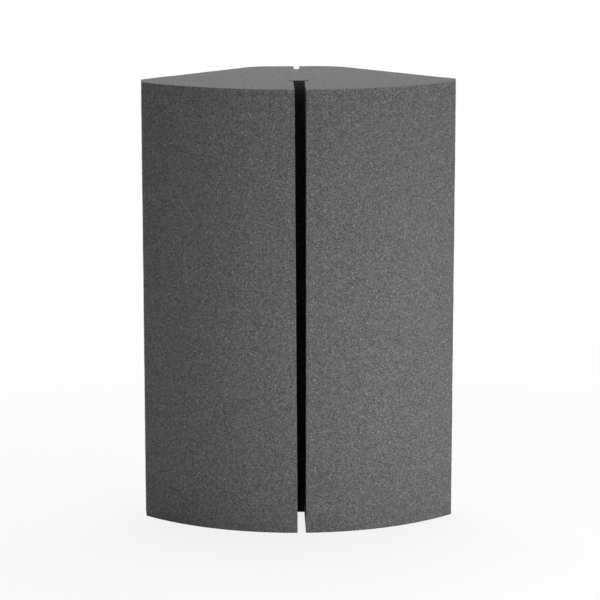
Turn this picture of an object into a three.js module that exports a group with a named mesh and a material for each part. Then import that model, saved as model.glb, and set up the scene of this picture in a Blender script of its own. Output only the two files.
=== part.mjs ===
// A corner bass trap: a block of open-cell foam that stands upright where two walls meet.
// Seen from above it has a round front, short flat sides, two faces that lie on the walls and a blunt
// rear that stays clear of the corner itself.
// A relief slot down the front and a notch down the rear leave a web of uncut foam between them.
// The web is a living hinge: the wings on its two sides turn about it, so that the wall faces
// lie flat in a corner that isn't quite square.
//
// Millimetres, +Z up. The front faces -Y, the room's corner is on the +Y side, and the origin is on
// the floor under the middle of the block's box.

import * as THREE from "three";

// The block. A wall leg runs from the room's corner to the block's side, and the rear's width is the
// one that it would have with sharp corners. From the wall faces to the front the flat sides draw in
// a little.
const HEIGHT = 600;
const CORNER_ANGLE = Math.PI / 2;
const WALL_LEG = 300;
const FRONT_RADIUS = 293;
const SIDE_LAND = 30;
const SIDE_DRAFT = 2.1;
const REAR_WIDTH = 114;
const REAR_ROUNDING = 52;

// The relief slot, which is open to the front, the top and the floor and ends in a cross cut against
// the web. The cross cut reaches into both wings. At its foot the left wing has settled towards the
// right one.
const SLOT_WIDTH = 15.2;
const SLOT_DEPTH = 103;
const CROSS_CUT_REACH = 5.4;
const CROSS_CUT_DEPTH = 8;
const LEFT_LEAN_AT_MOUTH = 3.9;
const LEFT_LEAN_AT_END = 5.6;

// The notch in the rear, which has a round floor
const NOTCH_WIDTH = 8;
const NOTCH_DEPTH = 36.5;

// What stays open where two cut faces come together at the end of a wing's travel
const CLOSED_GAP = 0.4;

// A wing's travel is read off in tenths of a degree, rounded towards rest
const TRAVEL_STEPS_PER_DEGREE = 10;
const ARC_DIVISIONS = 20;

// A wall face runs back from the flat side and in towards the middle plane, at half the corner's angle
// to it
const halfCorner = CORNER_ANGLE / 2;
const side = WALL_LEG * Math.sin(halfCorner);
const frontCorner = side - SIDE_DRAFT;
const rearCorner = REAR_WIDTH / 2;
const arcDepth = FRONT_RADIUS - Math.sqrt(FRONT_RADIUS ** 2 - frontCorner ** 2);
const wallFaceDepth = (side - rearCorner) / Math.tan(halfCorner);
const depth = arcDepth + SIDE_LAND + wallFaceDepth;

// The outlines below are drawn from above about the hinge line, which runs up through the web's middle
const webThickness = depth - SLOT_DEPTH - NOTCH_DEPTH;
const webFront = -webThickness / 2;
const notchFloor = webThickness / 2;
const front = webFront - SLOT_DEPTH;
const rear = notchFloor + NOTCH_DEPTH;
const webSide = SLOT_WIDTH / 2 + CROSS_CUT_REACH;
const crossCutFront = webFront - CROSS_CUT_DEPTH;
const notchWall = NOTCH_WIDTH / 2;
const notchRoundStart = notchFloor + notchWall;

// The front's arc has its centre on the middle plane
const frontCentre = front + FRONT_RADIUS;

function angleOnFront(x) {
  return -Math.acos(x / FRONT_RADIUS);
}

// A rounding that is tangent to the wall face and to the rear's flat takes the corner off between them
const roundingTurn = Math.PI / 2 - halfCorner;
const roundingCentreX = rearCorner - REAR_ROUNDING * Math.tan(roundingTurn / 2);
const roundingCentreY = rear - REAR_ROUNDING;

// The right wing at one level, anticlockwise from the slot's mouth. The slot's wall lies at wallAtMouth
// and wallAtEnd from the middle plane.
function wingOutline(wallAtMouth, wallAtEnd) {
  const outline = new THREE.Path();
  outline.absarc(0, frontCentre, FRONT_RADIUS, angleOnFront(wallAtMouth), angleOnFront(frontCorner), false);
  outline.lineTo(side, rear - wallFaceDepth);
  outline.absarc(roundingCentreX, roundingCentreY, REAR_ROUNDING, halfCorner, Math.PI / 2, false);
  outline.lineTo(notchWall, rear);
  outline.lineTo(notchWall, notchRoundStart);
  outline.lineTo(webSide, notchRoundStart);
  outline.lineTo(webSide, crossCutFront);
  outline.lineTo(wallAtEnd, crossCutFront);
  return outline.getPoints(ARC_DIVISIONS);
}

function mirrored(outline) {
  return outline.map((point) => new THREE.Vector2(-point.x, point.y)).reverse();
}

// The web at every level, anticlockwise. Its front closes the cross cut, and the notch's floor is
// hollowed into its rear.
function webOutline() {
  const outline = new THREE.Path();
  outline.moveTo(-webSide, webFront);
  outline.lineTo(webSide, webFront);
  outline.lineTo(webSide, notchRoundStart);
  outline.absarc(0, notchRoundStart, notchWall, 0, Math.PI, true);
  outline.lineTo(-webSide, notchRoundStart);
  return outline.getPoints(ARC_DIVISIONS);
}

// A closed solid from the floor to the top, between two outlines with the same number of points
function loft(foot, top) {
  const count = foot.length;
  const corners = [
    ...foot.map((point) => [point.x, point.y, 0]),
    ...top.map((point) => [point.x, point.y, HEIGHT]),
  ];
  const faces = [];
  for (let i = 0; i < count; i++) {
    const next = (i + 1) % count;
    faces.push([i, next, count + next], [i, count + next, count + i]);
  }
  for (const [a, b, c] of THREE.ShapeUtils.triangulateShape(foot, [])) faces.push([c, b, a]);
  for (const [a, b, c] of THREE.ShapeUtils.triangulateShape(top, [])) {
    faces.push([count + a, count + b, count + c]);
  }
  const geometry = new THREE.BufferGeometry();
  geometry.setAttribute("position", new THREE.Float32BufferAttribute(corners.flat(), 3));
  geometry.setIndex(faces.flat());
  return creased(geometry);
}

// Flat faces and crisp cut edges: each triangle gets its own corners and its own normal
function creased(geometry) {
  const loose = geometry.toNonIndexed();
  loose.computeVertexNormals();
  return loose;
}

const foam = new THREE.MeshStandardMaterial({ color: 0x636262, roughness: 1, metalness: 0 });

function foamMesh(name, foot, top) {
  const mesh = new THREE.Mesh(loft(foot, top), foam.clone());
  mesh.name = name;
  return mesh;
}

function rightWing() {
  const outline = wingOutline(SLOT_WIDTH / 2, SLOT_WIDTH / 2);
  return foamMesh("right_wing", outline, outline);
}

function leftWing() {
  const foot = wingOutline(SLOT_WIDTH / 2 - LEFT_LEAN_AT_MOUTH, SLOT_WIDTH / 2 - LEFT_LEAN_AT_END);
  const top = wingOutline(SLOT_WIDTH / 2, SLOT_WIDTH / 2);
  return foamMesh("left_wing", mirrored(foot), mirrored(top));
}

function hingeWeb() {
  return foamMesh("hinge_web", webOutline(), webOutline());
}

// How far each wing turns about the hinge line. It closes the slot until the walls meet at the mouth's
// foot, where the slot is narrowest, and it opens the slot until the notch's edges meet at the rear.
function travelInDegrees(gap, distance) {
  const angle = THREE.MathUtils.radToDeg(Math.atan((gap - CLOSED_GAP) / 2 / distance));
  return Math.floor(angle * TRAVEL_STEPS_PER_DEGREE) / TRAVEL_STEPS_PER_DEGREE;
}

// The meshes' own origins are on the hinge line, so turning a wing about Z bends the block
const block = new THREE.Group();
block.add(leftWing(), hingeWeb(), rightWing());
block.position.y = -(front + rear) / 2;
block.userData = {
  closesByDegrees: travelInDegrees(SLOT_WIDTH - LEFT_LEAN_AT_MOUTH, -front),
  opensByDegrees: travelInDegrees(NOTCH_WIDTH, rear),
};

const bassTrap = new THREE.Group();
bassTrap.add(block);

export default bassTrap;
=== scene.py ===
import math

import bpy
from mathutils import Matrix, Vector
from mathutils.geometry import delaunay_2d_cdt


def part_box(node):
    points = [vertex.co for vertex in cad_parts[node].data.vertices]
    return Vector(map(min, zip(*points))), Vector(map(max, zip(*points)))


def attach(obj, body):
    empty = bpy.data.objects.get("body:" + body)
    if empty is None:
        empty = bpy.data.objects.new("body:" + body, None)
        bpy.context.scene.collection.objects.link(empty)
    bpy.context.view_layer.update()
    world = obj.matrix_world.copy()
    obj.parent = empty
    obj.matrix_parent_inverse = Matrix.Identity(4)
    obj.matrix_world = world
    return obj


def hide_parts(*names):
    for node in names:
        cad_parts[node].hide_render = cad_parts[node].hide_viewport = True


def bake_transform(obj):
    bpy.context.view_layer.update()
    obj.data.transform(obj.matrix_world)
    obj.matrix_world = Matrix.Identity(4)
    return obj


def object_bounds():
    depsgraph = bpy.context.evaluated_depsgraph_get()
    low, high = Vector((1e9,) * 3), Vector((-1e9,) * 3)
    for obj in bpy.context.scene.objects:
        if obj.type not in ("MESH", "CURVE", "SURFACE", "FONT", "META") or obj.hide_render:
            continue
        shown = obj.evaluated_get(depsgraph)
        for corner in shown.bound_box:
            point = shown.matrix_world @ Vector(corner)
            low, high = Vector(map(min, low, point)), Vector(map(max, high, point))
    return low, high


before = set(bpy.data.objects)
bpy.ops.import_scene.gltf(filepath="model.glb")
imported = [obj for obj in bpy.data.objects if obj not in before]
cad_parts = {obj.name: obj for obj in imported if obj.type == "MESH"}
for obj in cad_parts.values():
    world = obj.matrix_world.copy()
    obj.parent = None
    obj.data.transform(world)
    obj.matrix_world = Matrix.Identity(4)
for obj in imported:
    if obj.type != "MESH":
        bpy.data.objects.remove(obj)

cad_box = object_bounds()

# The web. It is the foam left uncut between the relief slot and the rear notch, and the block's living hinge,
# made here as two halves, one each side of the middle plane. Like the wings it is cut out of one bun of
# open-cell polyurethane foam, by a blade that follows one outline at the foot and one at the top.

web_low, web_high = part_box("hinge_web")
WEB_SIDE = web_high.x
WEB_FRONT = web_low.y
NOTCH_ROUND_START = web_high.y
NOTCH_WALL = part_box("right_wing")[0].x
HEIGHT = web_high.z
FRONT = cad_box[0].y

CUT_EDGE_RADIUS = 0.0004
CUT_EDGE_STEPS = 3
CORNER_FROM = math.radians(15)
EDGE_MARGIN = 0.0006
CUT_SPACING = 0.003
SEAM_SPACING = 0.012
SEAM = "seam"
CUT = "cut"


class Run:
    """One straight or round stretch of an outline, from one corner to the next."""

    def __init__(self, start, end, edge):
        self.is_cut = edge != SEAM
        self.start = Vector(start)
        self.chord = Vector(end) - self.start
        self.centre = None if isinstance(edge, str) else Vector(edge)
        if self.centre is None:
            self.length = self.chord.length
            return
        spoke = self.start - self.centre
        self.radius = spoke.length
        self.first_angle = math.atan2(spoke.y, spoke.x)
        self.turn = math.copysign(1, self.chord.cross(-spoke))
        self.length = self.radius * 2 * math.asin(self.chord.length / 2 / self.radius)

    def angle_at(self, distance):
        return self.first_angle + self.turn * distance / self.radius

    def point_at(self, distance):
        if self.centre is None:
            return self.start + self.chord * (distance / self.length)
        angle = self.angle_at(distance)
        return self.centre + self.radius * Vector((math.cos(angle), math.sin(angle)))

    def outward_at(self, distance):
        if self.centre is None:
            return Vector((self.chord.y, -self.chord.x)).normalized()
        angle = self.angle_at(distance)
        return self.turn * Vector((math.cos(angle), math.sin(angle)))


def corner_points(before, after):
    """What an outline has at a corner, as (point, outward) pairs, what it takes off the two runs there, and
    whether it is sharp. Where the blade turned round a corner the foam's edge is left slightly rounded."""
    arriving = before.outward_at(before.length)
    leaving = after.outward_at(0)
    turn = math.atan2(arriving.cross(leaving), arriving.dot(leaving))
    if before.is_cut and after.is_cut and turn > CORNER_FROM:
        trim = CUT_EDGE_RADIUS * math.tan(turn / 2)
        centre = before.point_at(before.length - trim) - CUT_EDGE_RADIUS * arriving
        points = []
        for step in range(CUT_EDGE_STEPS + 1):
            angle = math.atan2(arriving.y, arriving.x) + turn * step / CUT_EDGE_STEPS
            outward = Vector((math.cos(angle), math.sin(angle)))
            points.append((centre + CUT_EDGE_RADIUS * outward, outward))
        return points, trim, True
    if after.is_cut and not before.is_cut and abs(turn) < CORNER_FROM:
        # A seam that ends in an inner corner: the next piece's cut face stands square to this one's
        neighbour = Vector((-leaving.y, leaving.x))
        return [(after.point_at(0), neighbour), (after.point_at(0), neighbour + leaving)], 0, True
    sides = [side for side, run in ((arriving, before), (leaving, after)) if run.is_cut]
    outward = Vector((0, 0))
    if len(sides) == 2:
        outward = (arriving + leaving) / (1 + arriving.dot(leaving))
    elif sides:
        outward = sides[0]
    return [(after.point_at(0), outward)], 0, abs(turn) > CORNER_FROM


def along(run, steps, trims, sharp):
    """The distances of a run's inner points: evenly spaced, with one more close to each sharp corner."""
    first = trims[0] + (EDGE_MARGIN if sharp[0] else 0)
    last = run.length - trims[1] - (EDGE_MARGIN if sharp[1] else 0)
    inner = [first + (last - first) * step / steps for step in range(1, steps)]
    return ([first] if sharp[0] else []) + inner + ([last] if sharp[1] else [])


def runs_through(corners):
    """The runs of an outline that goes anticlockwise through these (x, y, edge) corners. An edge is CUT, SEAM
    where the foam carries on in the next piece, or the centre of a round cut."""
    return [Run(a[:2], b[:2], a[2]) for a, b in zip(corners, corners[1:] + corners[:1])]


def outline(runs, spaced_as):
    """The (point, outward) pairs of an outline, with as many points on each run as spaced_as has room for.
    A seam has no outward, so the foam is neither softened nor made uneven there."""
    bends = [corner_points(runs[i - 1], run) for i, run in enumerate(runs)]
    pairs = []
    for i, run in enumerate(runs):
        points, trim, is_sharp = bends[i]
        _, next_trim, next_is_sharp = bends[(i + 1) % len(runs)]
        steps = max(1, round(spaced_as[i].length / (CUT_SPACING if run.is_cut else SEAM_SPACING)))
        pairs += points
        for distance in along(run, steps, (trim, next_trim), (is_sharp, next_is_sharp)):
            pairs.append((run.point_at(distance), run.outward_at(distance) * run.is_cut))
    return pairs


FACE_LATTICE = 0.004
LATTICE_CLEARANCE = 0.0019
ONLY_INSIDE = 1
SAME_POINT = 1e-7


def end_face(rim):
    """A flat end of the block: the points inside its rim, on a lattice of equal triangles, and the triangles
    that join the rim's points and these."""
    sides = list(zip(rim, rim[1:] + rim[:1]))
    row_height = FACE_LATTICE * math.sqrt(3) / 2
    front_y = min(p.y for p in rim)
    rear_y = max(p.y for p in rim)
    inside = []
    for row in range(1, int((rear_y - front_y) / row_height) + 1):
        y = front_y + row * row_height
        stagger = row % 2 / 2
        crossed = [(a, b) for a, b in sides if (a.y > y) != (b.y > y)]
        crossings = sorted(a.x + (b.x - a.x) * (y - a.y) / (b.y - a.y) for a, b in crossed)
        for left, right in zip(crossings[::2], crossings[1::2]):
            first = math.ceil(left / FACE_LATTICE + stagger)
            last = math.floor(right / FACE_LATTICE + stagger)
            inside += [Vector(((column - stagger) * FACE_LATTICE, y)) for column in range(first, last + 1)]
    clear = [p for p in inside if all((p - q).length > LATTICE_CLEARANCE for q in rim)]
    edges = [(i, (i + 1) % len(rim)) for i in range(len(rim))]
    # The triangulation numbers its corners anew, and lists for each the given points that it stands for
    _, _, triangles, stands_for, _, _ = delaunay_2d_cdt(rim + clear, edges, [], ONLY_INSIDE, SAME_POINT)
    given = [points[0] for points in stands_for]
    return clear, [[given[corner] for corner in triangle] for triangle in triangles]


def end_templates(name, foot_pairs, top_pairs):
    """The two end faces of a piece, as one mesh: first the foot's rim and then the top's, each in order.
    They stop short of the softened edges, and every point of a rim carries the way out of the foam."""
    count = len(foot_pairs)
    foot_rim = [p - CUT_EDGE_RADIUS * out for p, out in foot_pairs]
    top_rim = [p - CUT_EDGE_RADIUS * out for p, out in top_pairs]
    points = [(p.x, p.y, 0) for p in foot_rim] + [(p.x, p.y, HEIGHT) for p in top_rim]
    outwards = [(out.x, out.y, 0) for _, out in foot_pairs + top_pairs]
    faces = []
    for rim, first, z, winding in ((foot_rim, 0, 0, -1), (top_rim, count, HEIGHT, 1)):
        inside, triangles = end_face(rim)
        shift = len(points) - count
        for face in triangles:
            faces.append([corner + (first if corner < count else shift) for corner in face][::winding])
        points += [(p.x, p.y, z) for p in inside]
        outwards += [(0, 0, 0)] * len(inside)
    mesh = bpy.data.meshes.new(name)
    mesh.from_pydata(points, [], faces)
    stored = mesh.attributes.new("outward", "FLOAT_VECTOR", "POINT")
    stored.data.foreach_set("vector", [part for out in outwards for part in out])
    return mesh


class Value:
    """An output of a node. Arithmetic on it adds Math nodes, or Vector Math nodes if it is a vector or a
    colour. A vector stands to the left of the number that scales it."""

    def __init__(self, socket):
        self.socket = socket
        self.is_vector = socket.type in ("VECTOR", "RGBA")

    def math(self, operation, *values):
        kind = "ShaderNodeVectorMath" if self.is_vector else "ShaderNodeMath"
        return Wiring(self.socket.id_data).add(kind, {"operation": operation}, *values)

    def __add__(self, other):
        return self.math("ADD", self, other)

    def __sub__(self, other):
        return self.math("SUBTRACT", self, other)

    def __rsub__(self, other):
        return self.math("SUBTRACT", other, self)

    def __mul__(self, other):
        return self.math("SCALE" if self.is_vector else "MULTIPLY", self, other)

    def __truediv__(self, other):
        return self.math("DIVIDE", self, other)

    def __mod__(self, other):
        return self.math("FLOORED_MODULO", self, other)

    def __lt__(self, other):
        return self.math("LESS_THAN", self, other)

    def __gt__(self, other):
        return self.math("GREATER_THAN", self, other)

    def at_least(self, other):
        return self.math("MAXIMUM", self, other)

    def at_most(self, other):
        return self.math("MINIMUM", self, other)

    def output(self, name):
        """Another output of the same node."""
        return Value(self.socket.node.outputs[name])

    __radd__ = __add__
    __rmul__ = __mul__


class Wiring:
    """A node tree that is being filled."""

    def __init__(self, tree):
        self.tree = tree

    def add(self, kind, settings=None, *values, **named):
        """Adds a node and gives its first output. Its settings come first, as they decide which sockets are
        open. The sockets then get their values or links by place or by name, and a list is several links."""
        node = self.tree.nodes.new(kind)
        for name, setting in (settings or {}).items():
            setattr(node, name, setting)
        sockets = [socket for socket in node.inputs if socket.enabled]
        filled = list(zip(sockets, values))
        for name, value in named.items():
            filled.append((next(s for s in sockets if s.name == name.replace("_", " ")), value))
        for socket, value in filled:
            for source in value if isinstance(value, list) else [value]:
                if isinstance(source, Value):
                    self.tree.links.new(source.socket, socket)
                else:
                    socket.default_value = source
        outputs = [socket for socket in node.outputs if socket.enabled]
        return Value(outputs[0]) if outputs else None


ROUNDED_ROWS = CUT_EDGE_STEPS + 1
SEAM_MERGE = 0.00002
WAVE_DETAIL = 2.0
WAVE_ROUGHNESS = 0.55


def contour_cut():
    """The tree that cuts a piece of foam out between its two templates: a sheet of points is stretched from
    the foot's rim to the top's, the cut edges at both ends are softened, and the cut faces are made a little
    uneven."""
    tree = bpy.data.node_groups.new("contour_cut", "GeometryNodeTree")
    for name, kind in (
        ("Templates", "NodeSocketGeometry"),
        ("Height", "NodeSocketFloat"),
        ("Rim points", "NodeSocketInt"),
        ("Rows", "NodeSocketInt"),
        ("Cut edge radius", "NodeSocketFloat"),
        ("Unevenness", "NodeSocketFloat"),
        ("Waves per metre", "NodeSocketFloat"),
        ("Seed", "NodeSocketFloat"),
        ("Crease angle", "NodeSocketFloat"),
        ("Foam", "NodeSocketMaterial"),
    ):
        tree.interface.new_socket(name, in_out="INPUT", socket_type=kind)
    tree.interface.new_socket("Block", in_out="OUTPUT", socket_type="NodeSocketGeometry")
    wiring = Wiring(tree)
    inputs = wiring.add("NodeGroupInput")
    templates, height, rim_points, rows, radius, unevenness, waves, seed, crease_angle, finish = (
        inputs.output(item.name) for item in tree.interface.items_tree if item.in_out == "INPUT"
    )
    vectors = {"data_type": "FLOAT_VECTOR"}
    points = {"data_type": "FLOAT_VECTOR", "domain": "POINT"}
    outward = wiring.add("GeometryNodeInputNamedAttribute", vectors, "outward")
    place = wiring.add("GeometryNodeInputPosition")
    up = wiring.add("ShaderNodeCombineXYZ", None, 0.0, 0.0, 1.0)

    # The cut faces: one column of points per point of the rims, and the first column again to close them.
    # The sheet's own size doesn't matter, because each of its points is placed below.
    sheet = wiring.add("GeometryNodeMeshGrid", None, 1.0, 1.0, rim_points + 1, rows)
    index = wiring.add("GeometryNodeInputIndex")
    row = index % rows
    rim_point = ((index - row) / rows) % rim_points

    # Rows from an end: the first few go round the softened edge, and the others stand evenly spaced
    from_end = row.at_most(rows - 1 - row)
    angle = (from_end / CUT_EDGE_STEPS * (math.pi / 2)).at_most(math.pi / 2)
    inset = radius * (1 - angle.math("SINE", angle))
    is_even = from_end > CUT_EDGE_STEPS
    edge_height = radius * (1 - angle.math("COSINE", angle)) + is_even * EDGE_MARGIN
    even_share = (from_end - ROUNDED_ROWS).at_least(0.0) / (rows - 1 - 2 * ROUNDED_ROWS)
    end_height = edge_height + even_share * (height - 2 * (radius + EDGE_MARGIN))
    is_upper = (row * 2) > (rows - 1)
    share = (end_height + is_upper * (height - 2 * end_height)) / height

    def between_rims(value):
        low = wiring.add("GeometryNodeSampleIndex", vectors, templates, value, rim_point)
        high = wiring.add("GeometryNodeSampleIndex", vectors, templates, value, rim_point + rim_points)
        return low + (high - low) * share

    way_out = between_rims(outward)
    wall_place = between_rims(place) + way_out * (radius - inset)
    on_edge = inset / radius
    wall_lift = way_out * (1 - on_edge) + up * (on_edge * is_upper)
    walls = wiring.add("GeometryNodeStoreNamedAttribute", points, sheet, Name="lift", Value=wall_lift)
    walls = wiring.add("GeometryNodeSetPosition", None, walls, Position=wall_place)
    is_top = wiring.add("ShaderNodeSeparateXYZ", None, place).output("Z") > (height / 2)
    ends = wiring.add("GeometryNodeStoreNamedAttribute", points, templates, Name="lift", Value=up * is_top)
    joined = wiring.add("GeometryNodeJoinGeometry", None, [ends, walls])
    closed = wiring.add("GeometryNodeMergeByDistance", None, joined, Distance=SEAM_MERGE)

    # What the blade leaves: long low waves, across the cut faces and the top
    in_four = {"noise_dimensions": "4D"}
    texture = {"Vector": place, "W": seed, "Scale": waves, "Detail": WAVE_DETAIL, "Roughness": WAVE_ROUGHNESS}
    wave = wiring.add("ShaderNodeTexNoise", in_four, **texture)
    lift = wiring.add("GeometryNodeInputNamedAttribute", vectors, "lift")
    offset = lift * ((wave - 0.5) * unevenness)
    uneven = wiring.add("GeometryNodeSetPosition", None, closed, Offset=offset)
    smooth = wiring.add("GeometryNodeSetShadeSmooth", None, uneven)
    is_crease = wiring.add("GeometryNodeInputMeshEdgeAngle") > crease_angle
    creased = wiring.add("GeometryNodeSetShadeSmooth", {"domain": "EDGE"}, smooth, is_crease, False)
    real = wiring.add("GeometryNodeRealizeInstances", None, creased)
    dressed = wiring.add("GeometryNodeSetMaterial", None, real, Material=finish)
    wiring.add("NodeGroupOutput", None, dressed)
    return tree


MM_PER_METRE = 1000.0
FOAM_GREY = (0.1255, 0.123, 0.1245)
FOAM_ROUGHNESS = 0.95
FOAM_SPECULAR = 0.2

# The cells, in millimetres and in shares of a cell's width
CELL_MM = 1.35
PULL_PER_MM = 0.33
PULL_MM = 1.4
PULL_DETAIL = 1.0
HOLLOW_REACH = 0.6
STRUT_REACH = 0.16
GLINT_REACH = 0.5
CELLS_WITHOUT_GLINT = 0.965

# How much each makes the foam lighter or darker
CELL_CONTRAST = 1.15
HOLLOW_SHADE_CONTRAST = 1.2
STRUT_CONTRAST = 0.55
PAINTED_GLINT_CONTRAST = 6.0
MOTTLE_PER_MM = 0.09
MOTTLE_DETAIL = 3.0
MOTTLE_ROUGHNESS = 0.6
MOTTLE_CONTRAST = 0.16
END_SMOOTHNESS = 0.45

# How deep the cells look
BUMP_STRENGTH = 0.35
BUMP_DEPTH = 0.0004
STRUT_HEIGHT = 0.6

# Painted shade inside the slot: away from its front and its top, the foam's colour is darkened, down to this
# share
SHADED_SLOT_SHARE = 0.4
SLOT_SHADE_RAMP_TOP = 0.022
SLOT_SHADE_RAMP_FRONT = 0.03
SLOT_REACH = 0.0086


def charcoal_foam():
    """Open-cell foam seen on a cut face: cells cut open at all depths, with painted shade in their hollows
    and paler struts between them, and here and there a painted glint, a bright spot in the colour where a
    strut's film would catch the light. Inside the slot the colour carries painted shade."""
    material = bpy.data.materials.new("charcoal_foam")
    material.use_nodes = True
    material.node_tree.nodes.clear()
    wiring = Wiring(material.node_tree)
    seen = wiring.add("ShaderNodeTexCoord")
    block_place, way_out = seen.output("Object"), seen.output("Normal")
    place = block_place * MM_PER_METRE

    # Cells of uneven size: the lattice of cells is pulled about before it is read
    swirls = {"Scale": PULL_PER_MM, "Detail": PULL_DETAIL}
    pull = wiring.add("ShaderNodeTexNoise", None, Vector=place, **swirls).output("Color")
    pulled = place + (pull - (0.5, 0.5, 0.5)) * PULL_MM
    cell = wiring.add("ShaderNodeTexVoronoi", None, Vector=pulled, Scale=1 / CELL_MM)
    to_strut = {"feature": "DISTANCE_TO_EDGE"}
    strut = wiring.add("ShaderNodeTexVoronoi", to_strut, Vector=pulled, Scale=1 / CELL_MM)
    chance = wiring.add("ShaderNodeSeparateColor", None, cell.output("Color"))
    depth, film = chance, chance.output("Green")

    # Each cell's hollow, deeper in deeper cells: in the colour it is painted shade in the pores, and in the
    # bump it sinks
    hollow = (1 - cell / HOLLOW_REACH).at_least(0.0) * depth
    ridge = (1 - strut / STRUT_REACH).at_least(0.0)
    # Painted glints: a few cells get a bright spot in their colour, for the light their films would catch
    glint = (film > CELLS_WITHOUT_GLINT) * (1 - cell / GLINT_REACH).at_least(0.0)
    patches = {"Scale": MOTTLE_PER_MM, "Detail": MOTTLE_DETAIL, "Roughness": MOTTLE_ROUGHNESS}
    mottle = wiring.add("ShaderNodeTexNoise", None, Vector=place, **patches)
    grain = (depth - 0.5) * CELL_CONTRAST - hollow * HOLLOW_SHADE_CONTRAST
    grain = grain + ridge * STRUT_CONTRAST + glint * PAINTED_GLINT_CONTRAST

    # The grain, with its painted shade in the pores and its painted glints, is weaker on faces that face up
    # or down, at the ends of the block
    upright = wiring.add("ShaderNodeSeparateXYZ", None, way_out).output("Z")
    across = upright.math("ABSOLUTE", upright)
    shade = 1 + grain * (1 - across * END_SMOOTHNESS) + (mottle - 0.5) * MOTTLE_CONTRAST

    # Painted shade: inside the slot the foam's colour is darkened, the more so the further from its front and
    # its top
    x = wiring.add("ShaderNodeSeparateXYZ", None, block_place)
    y, z = x.output("Y"), x.output("Z")
    in_slot = (x.math("ABSOLUTE", x) < SLOT_REACH) * (y < WEB_FRONT + EDGE_MARGIN)
    from_front = ((y - FRONT) / SLOT_SHADE_RAMP_FRONT).at_most(1.0)
    from_top = ((HEIGHT - z) / SLOT_SHADE_RAMP_TOP).at_most(1.0)
    tone_with_slot_shade = shade * (1 - in_slot * from_front * from_top * (1 - SHADED_SLOT_SHARE))

    grey = wiring.add("ShaderNodeCombineColor", None, *[tone_with_slot_shade * amount for amount in FOAM_GREY])
    relief = ridge * STRUT_HEIGHT - hollow
    bump = wiring.add("ShaderNodeBump", None, Strength=BUMP_STRENGTH, Distance=BUMP_DEPTH, Height=relief)
    surface = wiring.add(
        "ShaderNodeBsdfPrincipled",
        None,
        Base_Color=grey,
        Roughness=FOAM_ROUGHNESS,
        Specular_IOR_Level=FOAM_SPECULAR,
        Normal=bump,
    )
    wiring.add("ShaderNodeOutputMaterial", None, Surface=surface)
    return material


cut_tree = contour_cut()
foam = charcoal_foam()
ROWS = round(HEIGHT / CUT_SPACING) + 2 * ROUNDED_ROWS
UNEVENNESS = 0.0009
WAVES_PER_METRE = 34.0
SEED = 4.0
CREASE_ANGLE = math.radians(50)


def cut_out(name, foot_pairs, top_pairs):
    """A piece of foam as a plain mesh at the origin, cut out between its templates."""
    piece = bpy.data.objects.new(name, end_templates(name, foot_pairs, top_pairs))
    bpy.context.scene.collection.objects.link(piece)
    modifier = piece.modifiers.new("contour_cut", "NODES")
    modifier.node_group = cut_tree
    inputs = {
        "Height": HEIGHT,
        "Rim points": len(foot_pairs),
        "Rows": ROWS,
        "Cut edge radius": CUT_EDGE_RADIUS,
        "Unevenness": UNEVENNESS,
        "Waves per metre": WAVES_PER_METRE,
        "Seed": SEED,
        "Crease angle": CREASE_ANGLE,
        "Foam": foam,
    }
    for item in cut_tree.interface.items_tree:
        if item.name in inputs:
            modifier[item.identifier] = inputs[item.name]
    cut = bpy.data.meshes.new_from_object(piece.evaluated_get(bpy.context.evaluated_depsgraph_get()))
    piece.modifiers.remove(modifier)
    piece.data = cut
    cut.name = name
    return piece


def mirrored(pairs):
    """The same outline on the other side of the middle plane, still anticlockwise."""
    return [(Vector((-p.x, p.y)), Vector((-out.x, out.y))) for p, out in reversed(pairs)]


web_runs = runs_through(
    [
        (0, WEB_FRONT, CUT),
        (WEB_SIDE, WEB_FRONT, SEAM),
        (WEB_SIDE, NOTCH_ROUND_START, SEAM),
        (NOTCH_WALL, NOTCH_ROUND_START, (0, NOTCH_ROUND_START)),
        (0, NOTCH_ROUND_START - NOTCH_WALL, SEAM),
    ]
)
web_half = outline(web_runs, web_runs)
web_right = cut_out("web_foam_right", web_half, web_half)
web_left = cut_out("web_foam_left", mirrored(web_half), mirrored(web_half))
for half, body, bend_end in ((web_right, "right_wing", NOTCH_WALL), (web_left, "left_wing", -NOTCH_WALL)):
    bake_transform(half)
    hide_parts("hinge_web")

# The right wing. Its round front faces the room, its flat face lies on the right wall, its short side draws
# in a little towards the front, and its slot wall is straight. It is cut from the same bun as the web and
# joins it without a glue line.

wing_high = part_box("right_wing")[1]
SIDE = wing_high.x
REAR = wing_high.y
FRONT_RADIUS = 0.293
SIDE_LAND = 0.030
SIDE_DRAFT = 0.0021
REAR_ROUNDING = 0.052
SLOT_WALL = 0.0076
CROSS_CUT_DEPTH = 0.008
FRONT_CORNER = SIDE - SIDE_DRAFT
FRONT_CENTRE = FRONT_RADIUS - REAR
LAND_START = FRONT_CENTRE - math.sqrt(FRONT_RADIUS**2 - FRONT_CORNER**2)
LAND_END = LAND_START + SIDE_LAND

# The rear's rounding is tangent to the rear's flat and to the wall face, which lies at 45 degrees
ROUNDING_Y = REAR - REAR_ROUNDING
ROUNDING_X = SIDE + LAND_END - ROUNDING_Y - REAR_ROUNDING * math.sqrt(2)
ROUNDING_START = REAR_ROUNDING * math.sqrt(0.5)


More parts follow.
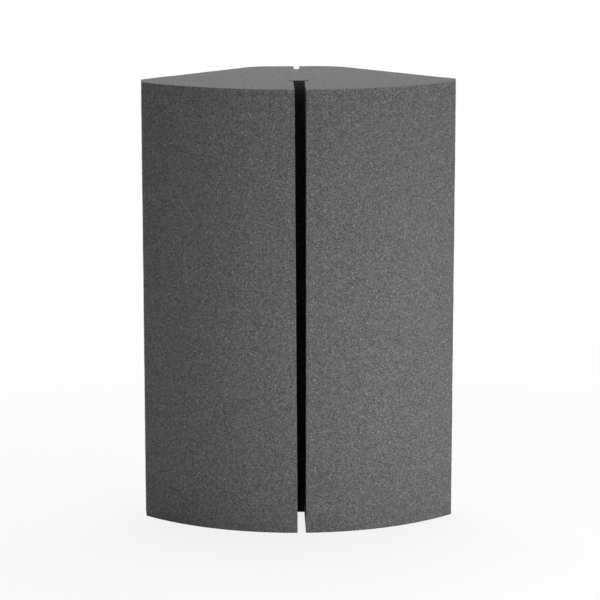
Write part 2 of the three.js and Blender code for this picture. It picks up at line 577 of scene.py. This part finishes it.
def wing_runs(wall_at_mouth, wall_at_end):
    """The runs of a right wing whose slot wall is that far from the middle plane, at the mouth and at the
    end."""
    cross_cut = WEB_FRONT - CROSS_CUT_DEPTH
    mouth = FRONT_CENTRE - math.sqrt(FRONT_RADIUS**2 - wall_at_mouth**2)
    return runs_through(
        [
            (wall_at_mouth, mouth, (0, FRONT_CENTRE)),
            (FRONT_CORNER, LAND_START, CUT),
            (SIDE, LAND_END, CUT),
            (ROUNDING_X + ROUNDING_START, ROUNDING_Y + ROUNDING_START, (ROUNDING_X, ROUNDING_Y)),
            (ROUNDING_X, REAR, CUT),
            (NOTCH_WALL, REAR, CUT),
            (NOTCH_WALL, NOTCH_ROUND_START, SEAM),
            (WEB_SIDE, NOTCH_ROUND_START, SEAM),
            (WEB_SIDE, WEB_FRONT, CUT),
            (WEB_SIDE, cross_cut, CUT),
            (wall_at_end, cross_cut, CUT),
        ]
    )


straight_runs = wing_runs(SLOT_WALL, SLOT_WALL)
straight_wing = outline(straight_runs, straight_runs)
right_wing = cut_out("right_wing_foam", straight_wing, straight_wing)
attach(right_wing, "right_wing")
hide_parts("right_wing")

# The left wing. It is the right one's mirror image, apart from its slot wall: the foam has settled, so the
# wall leans towards the right wing at its foot and stands straight at its top.

LEAN_AT_MOUTH = 0.0039
LEAN_AT_END = 0.0056

leaning_wing = outline(wing_runs(SLOT_WALL - LEAN_AT_MOUTH, SLOT_WALL - LEAN_AT_END), straight_runs)
left_wing = cut_out("left_wing_foam", mirrored(leaning_wing), mirrored(straight_wing))
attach(left_wing, "left_wing")
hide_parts("left_wing")

# The floor that the block stands on. It is matt and pale and keeps the block's soft shadow, and the camera
# sees it whiter than it is, all the more so the further it is from the block.

FLOOR_RADIUS = 6.0
FLOOR_SIDES = 96
FLOOR_GREY = 0.8
WHITE_NEAR = 0.84
WHITE_FROM = 0.5
WHITE_ALL = 1.3


def seen_by_camera(wiring):
    """1 where the camera sees a surface, straight or in gloss or glass, and 0 where it only lights others."""
    path = wiring.add("ShaderNodeLightPath")
    return path.at_least(path.output("Is Glossy Ray")).at_least(path.output("Is Transmission Ray"))


def pale_floor():
    """Matt paper that turns white for the camera with the distance from the block."""
    material = bpy.data.materials.new("pale_floor")
    material.use_nodes = True
    material.node_tree.nodes.clear()
    wiring = Wiring(material.node_tree)
    grey = (FLOOR_GREY, FLOOR_GREY, FLOOR_GREY, 1)
    matt = wiring.add("ShaderNodeBsdfPrincipled", None, grey, Roughness=1.0, Specular_IOR_Level=0.0)
    white = wiring.add("ShaderNodeEmission")
    place = wiring.add("ShaderNodeTexCoord").output("Object")
    reach = (place.math("LENGTH", place), WHITE_FROM, WHITE_ALL, WHITE_NEAR, 1.0)
    whiteness = wiring.add("ShaderNodeMapRange", {"interpolation_type": "SMOOTHSTEP"}, *reach)
    mixed = wiring.add("ShaderNodeMixShader", None, seen_by_camera(wiring) * whiteness, matt, white)
    wiring.add("ShaderNodeOutputMaterial", None, Surface=mixed)
    return material


turns = [2 * math.pi * i / FLOOR_SIDES for i in range(FLOOR_SIDES)]
floor_rim = [(FLOOR_RADIUS * math.cos(turn), FLOOR_RADIUS * math.sin(turn), 0) for turn in turns]
floor_mesh = bpy.data.meshes.new("floor")
floor_mesh.from_pydata(floor_rim, [], [range(FLOOR_SIDES)])
floor_mesh.materials.append(pale_floor())
floor = bpy.data.objects.new("floor", floor_mesh)
bpy.context.scene.collection.objects.link(floor)

# The light: a soft lamp that stands low and close on the right, so that the front is lightest at its foot,
# a wide one overhead, one behind for the wall faces, and a pale room all round, which the camera sees as
# white.

ROOM_LIGHT = 0.287
WHITE = (1, 1, 1, 1)

world = bpy.data.worlds.new("pale_room")
bpy.context.scene.world = world
world.use_nodes = True
world.node_tree.nodes.clear()
room_wiring = Wiring(world.node_tree)
room = room_wiring.add("ShaderNodeBackground", None, WHITE, ROOM_LIGHT)
backdrop = room_wiring.add("ShaderNodeBackground", None, WHITE, 1.0)
room_mix = room_wiring.add("ShaderNodeMixShader", None, seen_by_camera(room_wiring), room, backdrop)
room_wiring.add("ShaderNodeOutputWorld", None, Surface=room_mix)


def soft_lamp(name, place, aim, width, watts):
    """A round lamp, width metres across, that stands at a place and is aimed at a point."""
    light = bpy.data.lights.new(name, "AREA")
    light.shape = "DISK"
    light.size = width
    light.energy = watts
    lamp = bpy.data.objects.new(name, light)
    bpy.context.scene.collection.objects.link(lamp)
    lamp.location = place
    lamp.rotation_euler = (Vector(aim) - Vector(place)).to_track_quat("-Z", "Y").to_euler()


soft_lamp("lamp_right", place=(0.72, -0.88, 0.2), aim=(0.1, -0.1, 0.05), width=0.4, watts=5.95)
soft_lamp("lamp_overhead", place=(0.3, 0.5, 2.6), aim=(0, 0, 0.5), width=1.6, watts=44)
soft_lamp("lamp_behind", place=(-1.8, 2.8, 1.2), aim=(0, 0, 0.3), width=1.6, watts=40)

# The camera. It stands well in front of the block, a little to the left of its middle, and looks down on it
# through a long lens, so that the top shows as a narrow lens shape above the round front.

CAMERA_PLACE = (-0.0738, -3.6369, 1.0249)
CAMERA_TURN = math.radians(1.20)
CAMERA_TILT = math.radians(11.38)
LENS_MM = 161.8
SENSOR_MM = 36.0

view = bpy.data.cameras.new("camera")
view.lens = LENS_MM
view.sensor_width = SENSOR_MM
camera = bpy.data.objects.new("camera", view)
bpy.context.scene.collection.objects.link(camera)
camera.location = CAMERA_PLACE
camera.rotation_euler = (math.pi / 2 - CAMERA_TILT, 0, -CAMERA_TURN)
bpy.context.scene.camera = camera

bpy.context.scene.view_settings.view_transform = "Standard"
